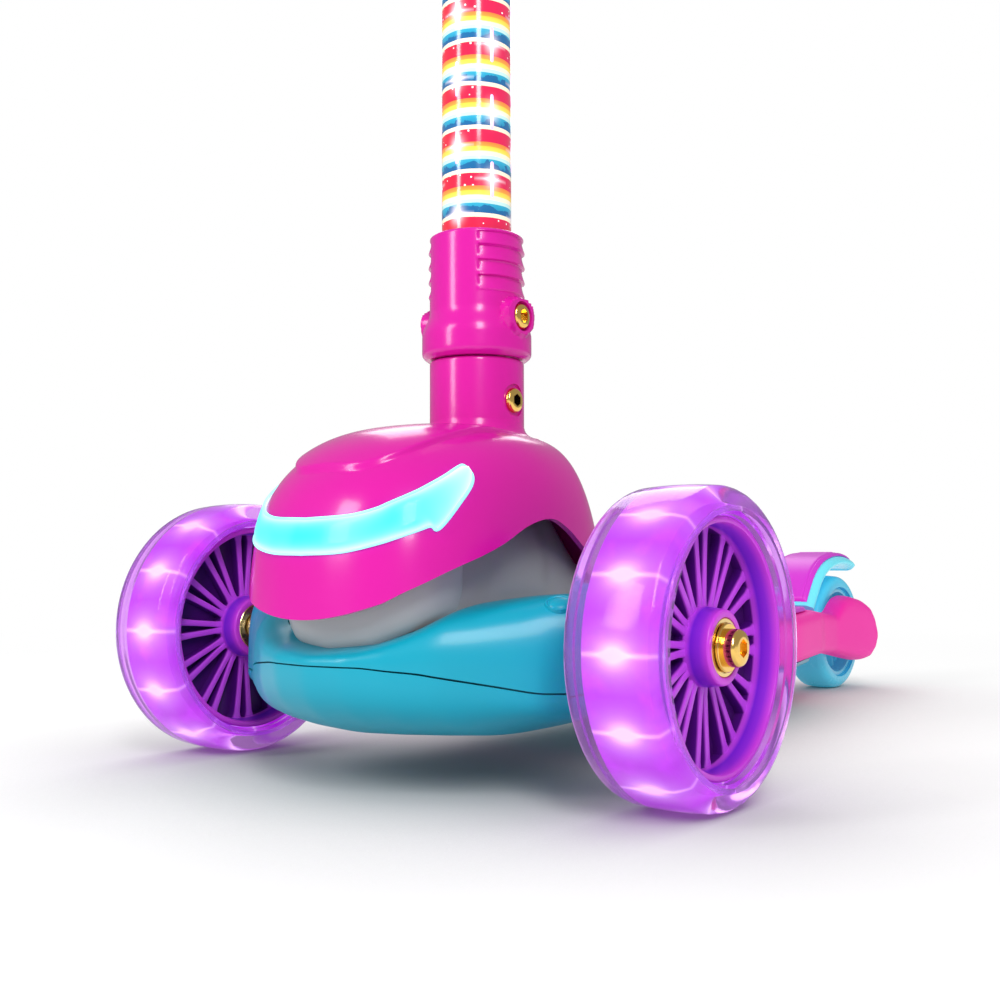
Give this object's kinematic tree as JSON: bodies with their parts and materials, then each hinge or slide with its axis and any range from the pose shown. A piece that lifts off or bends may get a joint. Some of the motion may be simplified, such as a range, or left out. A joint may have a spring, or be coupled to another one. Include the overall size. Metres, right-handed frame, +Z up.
{
  "type": "kick scooter",
  "caption": "Three-wheeled lean-to-steer kick scooter for a small child, with a folding light-up stem, a sliding handlebar, light-up front wheels and a rear foot brake.",
  "frame": {"origin": "on the ground, at the middle of the scooter's length and width", "axes": "+X forwards, +Y to the rider's left, +Z up along the stem"},
  "size_m": [0.564, 0.294, 0.6685],
  "materials": {
    "pink_shell": "high gloss moulded plastic",
    "teal_shell": "satin-gloss moulded plastic",
    "grip_mat": "textured anti-slip rubber",
    "grey_shield": "matt moulded plastic",
    "light_lens": "clear tinted lens, lit from behind",
    "led_strip": "white light strip",
    "wheel_light": "lit blocks in a clear ring",
    "rainbow_tube": "glossy printed tube with rainbow bands",
    "wheel_core": "glossy moulded plastic",
    "clear_tyre": "clear tinted polyurethane",
    "rear_wheel_core": "glossy moulded plastic",
    "rear_tyre": "translucent polyurethane",
    "cyan_fender": "glossy moulded plastic",
    "gold_metal": "polished gold plating",
    "bearing_steel": "gold-tinted bearing steel",
    "steel": "machined steel",
    "aluminium_tube": "drawn and anodised tube",
    "rubber_stop": "matt rubber",
    "grip_rubber": "ribbed soft rubber"
  },
  "bodies": {
    "chassis": {"nose_lower_shell": "teal_shell", "nose_upper_shell": "teal_shell", "dust_shield": "grey_shield", "lean_pivot_shaft": "steel", "centering_spring": "steel", "lean_stop_left": "rubber_stop", "lean_stop_right": "rubber_stop", "kingpin_left": "teal_shell", "kingpin_right": "teal_shell", "deck_frame": "pink_shell", "deck_bottom_cover": "teal_shell", "deck_grip_pad": "grip_mat", "rear_axle_bolt": "gold_metal", "brake_hinge_pin": "steel", "brake_spring": "steel"},
    "steering_column": {"dome_cover": "pink_shell", "dome_light_lens": "light_lens", "stem_socket": "pink_shell", "lean_lever": "steel", "fold_pivot_bolt": "gold_metal"},
    "tie_rod": {"tie_rod": "steel"},
    "rear_wheel": {"rear_core": "rear_wheel_core", "rear_tyre": "rear_tyre", "rear_bearing_left": "bearing_steel", "rear_bearing_right": "bearing_steel"},
    "brake": {"brake_fender": "cyan_fender", "brake_pedal_pad": "pink_shell"},
    "stem": {"stem_tongue": "steel", "stem_core_tube": "aluminium_tube", "stem_light_tube": "rainbow_tube", "stem_led_harness": "led_strip", "clamp_collar": "pink_shell", "clamp_bolt": "gold_metal", "sleeve_spring": "steel"},
    "fold_sleeve": {"fold_sleeve": "pink_shell", "sleeve_bolt_left": "gold_metal", "sleeve_bolt_right": "gold_metal"},
    "clamp_lever": {"clamp_lever": "gold_metal"},
    "height_lock_button": {"height_lock_button": "gold_metal"},
    "handlebar": {"handlebar_inner_tube": "aluminium_tube", "handlebar_tee": "pink_shell", "handlebar_crossbar": "aluminium_tube", "handlebar_grip_left": "grip_rubber", "handlebar_grip_right": "grip_rubber"},
    "knuckle_left": {"knuckle_left": "steel", "axle_bolt_left": "gold_metal", "light_magnet_left": "steel"},
    "wheel_left": {"wheel_core_left": "wheel_core", "wheel_tyre_left": "clear_tyre", "wheel_lights_left": "wheel_light", "outer_bearing_left": "bearing_steel", "inner_bearing_left": "bearing_steel"},
    "knuckle_right": {"knuckle_right": "steel", "axle_bolt_right": "gold_metal", "light_magnet_right": "steel"},
    "wheel_right": {"wheel_core_right": "wheel_core", "wheel_tyre_right": "clear_tyre", "wheel_lights_right": "wheel_light", "outer_bearing_right": "bearing_steel", "inner_bearing_right": "bearing_steel"}
  },
  "joints": [
    {"name": "lean_to_steer", "type": "hinge", "parent": "chassis", "child": "steering_column", "pos_m": [0.17, 0, 0.085], "axis": [1, 0, 0], "range_deg": [-10, 10], "stiffness_Nm_per_rad": 28},
    {"name": "tie_rod_slide", "type": "slide", "parent": "chassis", "child": "tie_rod", "axis": [0, 1, 0], "range_m": [-0.0044, 0.0044]},
    {"name": "knuckle_left_steer", "type": "hinge", "parent": "chassis", "child": "knuckle_left", "pos_m": [0.203, 0.089, 0.06], "axis": [0, 0, 1], "range_deg": [-10, 10]},
    {"name": "wheel_left_spin", "type": "hinge", "parent": "knuckle_left", "child": "wheel_left", "pos_m": [0.203, 0.125, 0.06], "axis": [0, 1, 0], "continuous": true},
    {"name": "knuckle_right_steer", "type": "hinge", "parent": "chassis", "child": "knuckle_right", "pos_m": [0.203, -0.089, 0.06], "axis": [0, 0, 1], "range_deg": [-10, 10]},
    {"name": "wheel_right_spin", "type": "hinge", "parent": "knuckle_right", "child": "wheel_right", "pos_m": [0.203, -0.125, 0.06], "axis": [0, 1, 0], "continuous": true},
    {"name": "rear_wheel_spin", "type": "hinge", "parent": "chassis", "child": "rear_wheel", "pos_m": [-0.237, 0, 0.04], "axis": [0, 1, 0], "continuous": true},
    {"name": "brake_press", "type": "hinge", "parent": "chassis", "child": "brake", "pos_m": [-0.185, 0, 0.047], "axis": [0, 1, 0], "range_deg": [-5, 0], "stiffness_Nm_per_rad": 8, "springref_deg": 1.15},
    {"name": "stem_fold", "type": "hinge", "parent": "steering_column", "child": "stem", "pos_m": [0.17, 0, 0.1635], "axis": [0, 1, 0], "range_deg": [-88, 0]},
    {"name": "sleeve_lift", "type": "slide", "parent": "stem", "child": "fold_sleeve", "axis": [0, 0, 1], "range_m": [0, 0.012], "stiffness_N_per_m": 900, "springref_m": -0.006, "deforming": ["sleeve_spring"]},
    {"name": "clamp_lever_open", "type": "hinge", "parent": "stem", "child": "clamp_lever", "pos_m": [0.143, 0.0196, 0.486], "axis": [0, 0, 1], "range_deg": [0, 120]},
    {"name": "height_button_press", "type": "slide", "parent": "stem", "child": "height_lock_button", "axis": [-1, 0, 0], "range_m": [0, 0.0035], "stiffness_N_per_m": 1200, "springref_m": -0.002},
    {"name": "handlebar_height", "type": "slide", "parent": "stem", "child": "handlebar", "axis": [0, 0, 1], "range_m": [-0.07, 0.02]}
  ],
  "couplings": [
    {"joint": "tie_rod_slide", "follows": "lean_to_steer", "m_per_rad": 0.025},
    {"joint": "knuckle_left_steer", "follows": "lean_to_steer", "ratio": -1},
    {"joint": "knuckle_right_steer", "follows": "lean_to_steer", "ratio": -1}
  ]
}
